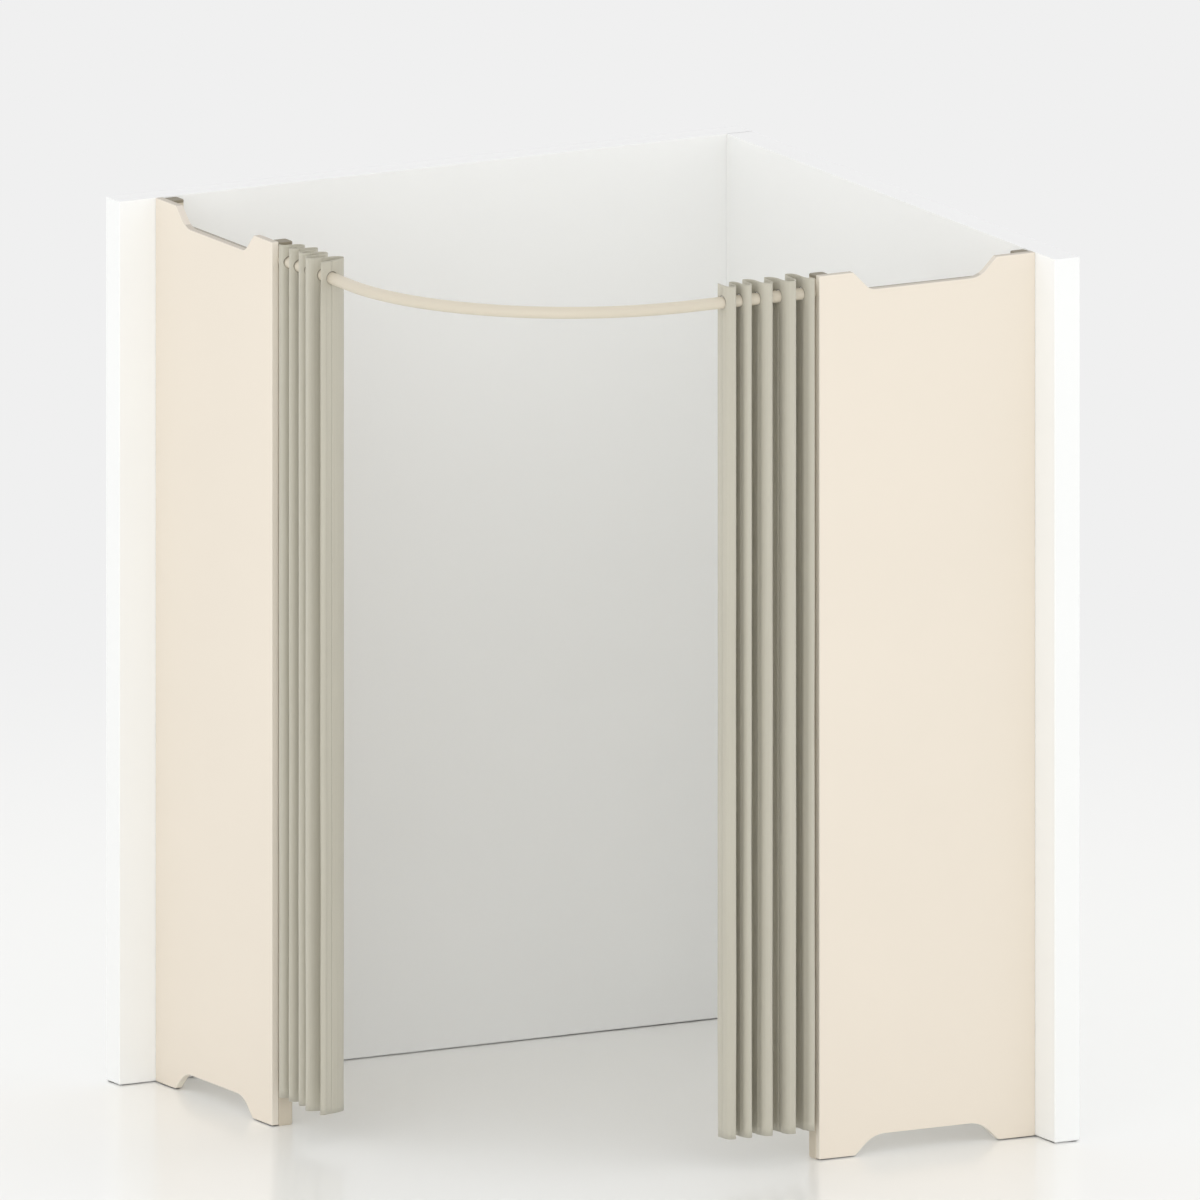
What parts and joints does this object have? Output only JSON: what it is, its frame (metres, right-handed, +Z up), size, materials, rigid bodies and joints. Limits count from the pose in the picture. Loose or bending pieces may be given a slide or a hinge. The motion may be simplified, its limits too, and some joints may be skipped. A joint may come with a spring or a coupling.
{
  "type": "portable fitting room",
  "caption": "Corner fitting room of two white partition walls, notched cream side boards on posts and two curtains on a bent rail.",
  "frame": {"origin": "on the floor, in the middle of the booth's square plan", "axes": "+Z up; the back wall stands at +Y and the side wall at +X, so the entrance is the open corner at -X and -Y"},
  "size_m": [1.75, 1.75, 2.2],
  "materials": {
    "wall_white": "satin white laminate on board",
    "frame_timber": "softwood, painted white where it shows",
    "core_paper": "stiff brown paperboard, a light core",
    "board_cream": "fibreboard with a smooth cream face",
    "post_cream": "satin cream powder coat on steel tube",
    "cap_brown": "grey-brown moulded plastic",
    "rail_cream": "satin cream powder coat on steel tube",
    "curtain_cloth": "heavy beige-grey woven cloth",
    "zinc": "zinc-plated steel"
  },
  "bodies": {
    "booth": {"back_wall_core": "core_paper", "back_wall_frame": "frame_timber", "back_wall_inner_skin": "wall_white", "back_wall_outer_skin": "wall_white", "corner_bolt_1": "zinc", "corner_bolt_2": "zinc", "corner_bolt_3": "zinc", "curtain_rail": "rail_cream", "left_curtain_fold_1": "curtain_cloth", "left_front_board_screw_1": "zinc", "left_front_board_screw_2": "zinc", "left_front_post": "post_cream", "left_front_post_cap": "cap_brown", "left_rail_screw": "zinc", "left_rail_spigot": "zinc", "left_side_board": "board_cream", "left_tie_bar": "post_cream", "left_wall_board_screw_1": "zinc", "left_wall_board_screw_2": "zinc", "left_wall_post": "post_cream", "left_wall_post_cap": "cap_brown", "left_wall_screw_1": "zinc", "left_wall_screw_2": "zinc", "right_curtain_fold_1": "curtain_cloth", "right_front_board_screw_1": "zinc", "right_front_board_screw_2": "zinc", "right_front_post": "post_cream", "right_front_post_cap": "cap_brown", "right_rail_screw": "zinc", "right_rail_spigot": "zinc", "right_side_board": "board_cream", "right_tie_bar": "post_cream", "right_wall_board_screw_1": "zinc", "right_wall_board_screw_2": "zinc", "right_wall_post": "post_cream", "right_wall_post_cap": "cap_brown", "right_wall_screw_1": "zinc", "right_wall_screw_2": "zinc", "side_wall_core": "core_paper", "side_wall_frame": "frame_timber", "side_wall_inner_skin": "wall_white", "side_wall_outer_skin": "wall_white"},
    "left_fold_2": {"left_curtain_fold_2": "curtain_cloth"},
    "left_fold_3": {"left_curtain_fold_3": "curtain_cloth"},
    "left_fold_4": {"left_curtain_fold_4": "curtain_cloth"},
    "left_fold_5": {"left_curtain_fold_5": "curtain_cloth"},
    "left_fold_6": {"left_curtain_fold_6": "curtain_cloth"},
    "left_fold_7": {"left_curtain_fold_7": "curtain_cloth"},
    "left_fold_8": {"left_curtain_fold_8": "curtain_cloth"},
    "right_fold_2": {"right_curtain_fold_2": "curtain_cloth"},
    "right_fold_3": {"right_curtain_fold_3": "curtain_cloth"},
    "right_fold_4": {"right_curtain_fold_4": "curtain_cloth"},
    "right_fold_5": {"right_curtain_fold_5": "curtain_cloth"},
    "right_fold_6": {"right_curtain_fold_6": "curtain_cloth"},
    "right_fold_7": {"right_curtain_fold_7": "curtain_cloth"},
    "right_fold_8": {"right_curtain_fold_8": "curtain_cloth"},
    "right_fold_9": {"right_curtain_fold_9": "curtain_cloth"}
  },
  "joints": [
    {"name": "left_curtain_draw", "type": "slide", "parent": "booth", "child": "left_fold_2", "axis": [0, -1, 0], "range_m": [0, 0.07736], "deforming": ["left_curtain_fold_1", "left_curtain_fold_2"]},
    {"name": "left_fold_3_follows", "type": "slide", "parent": "left_fold_2", "child": "left_fold_3", "axis": [0, -1, 0], "range_m": [0, 0.0833], "deforming": ["left_curtain_fold_3"]},
    {"name": "left_fold_4_follows", "type": "slide", "parent": "left_fold_3", "child": "left_fold_4", "axis": [0, -1, 0], "range_m": [0, 0.07877], "deforming": ["left_curtain_fold_4"]},
    {"name": "left_fold_5_follows", "type": "hinge", "parent": "left_fold_4", "child": "left_fold_5", "pos_m": [-0.29826, 0.08099, 2.154], "axis": [0, 0, 1], "range_deg": [0, 10.7], "deforming": ["left_curtain_fold_5"]},
    {"name": "left_fold_6_follows", "type": "hinge", "parent": "left_fold_5", "child": "left_fold_6", "pos_m": [-0.3088, 0.05112, 2.154], "axis": [0, 0, 1], "range_deg": [0, 10.7], "deforming": ["left_curtain_fold_6"]},
    {"name": "left_fold_7_follows", "type": "hinge", "parent": "left_fold_6", "child": "left_fold_7", "pos_m": [-0.31602, 0.01959, 2.154], "axis": [0, 0, 1], "range_deg": [0, 10.7], "deforming": ["left_curtain_fold_7"]},
    {"name": "left_fold_8_follows", "type": "hinge", "parent": "left_fold_7", "child": "left_fold_8", "pos_m": [-0.37219, -0.01787, 2.154], "axis": [0, 0, 1], "range_deg": [0, 10.7], "deforming": ["left_curtain_fold_8"]},
    {"name": "right_curtain_draw", "type": "slide", "parent": "booth", "child": "right_fold_2", "axis": [-1, 0, 0], "range_m": [0, 0.06667], "deforming": ["right_curtain_fold_1", "right_curtain_fold_2"]},
    {"name": "right_fold_3_follows", "type": "slide", "parent": "right_fold_2", "child": "right_fold_3", "axis": [-1, 0, 0], "range_m": [0, 0.06436], "deforming": ["right_curtain_fold_3"]},
    {"name": "right_fold_4_follows", "type": "slide", "parent": "right_fold_3", "child": "right_fold_4", "axis": [-1, 0, 0], "range_m": [0, 0.0667], "deforming": ["right_curtain_fold_4"]},
    {"name": "right_fold_5_follows", "type": "hinge", "parent": "right_fold_4", "child": "right_fold_5", "pos_m": [0.05342, -0.14935, 2.154], "axis": [0, 0, -1], "range_deg": [0, 6.46], "deforming": ["right_curtain_fold_5"]},
    {"name": "right_fold_6_follows", "type": "hinge", "parent": "right_fold_5", "child": "right_fold_6", "pos_m": [0.03922, -0.31636, 2.154], "axis": [0, 0, -1], "range_deg": [0, 9.22], "deforming": ["right_curtain_fold_6"]},
    {"name": "right_fold_7_follows", "type": "hinge", "parent": "right_fold_6", "child": "right_fold_7", "pos_m": [0.01483, -0.27388, 2.154], "axis": [0, 0, -1], "range_deg": [0, 9.22], "deforming": ["right_curtain_fold_7"]},
    {"name": "right_fold_8_follows", "type": "hinge", "parent": "right_fold_7", "child": "right_fold_8", "pos_m": [-0.00633, -0.27646, 2.154], "axis": [0, 0, -1], "range_deg": [0, 9.22], "deforming": ["right_curtain_fold_8"]},
    {"name": "right_fold_9_follows", "type": "hinge", "parent": "right_fold_8", "child": "right_fold_9", "pos_m": [-0.02985, -0.3031, 2.154], "axis": [0, 0, -1], "range_deg": [0, 9.22], "deforming": ["right_curtain_fold_9"]}
  ],
  "couplings": [
    {"joint": "left_fold_3_follows", "follows": "left_curtain_draw", "ratio": 1.0767},
    {"joint": "left_fold_4_follows", "follows": "left_curtain_draw", "ratio": 1.0181},
    {"joint": "left_fold_5_follows", "follows": "left_curtain_draw", "rad_per_m": 2.4128},
    {"joint": "left_fold_6_follows", "follows": "left_curtain_draw", "rad_per_m": 2.4128},
    {"joint": "left_fold_7_follows", "follows": "left_curtain_draw", "rad_per_m": 2.4128},
    {"joint": "left_fold_8_follows", "follows": "left_curtain_draw", "rad_per_m": 2.4128},
    {"joint": "right_fold_3_follows", "follows": "right_curtain_draw", "ratio": 0.96545},
    {"joint": "right_fold_4_follows", "follows": "right_curtain_draw", "ratio": 1.0005},
    {"joint": "right_fold_5_follows", "follows": "right_curtain_draw", "rad_per_m": 1.6907},
    {"joint": "right_fold_6_follows", "follows": "right_curtain_draw", "rad_per_m": 2.4149},
    {"joint": "right_fold_7_follows", "follows": "right_curtain_draw", "rad_per_m": 2.4149},
    {"joint": "right_fold_8_follows", "follows": "right_curtain_draw", "rad_per_m": 2.4149},
    {"joint": "right_fold_9_follows", "follows": "right_curtain_draw", "rad_per_m": 2.4149}
  ]
}
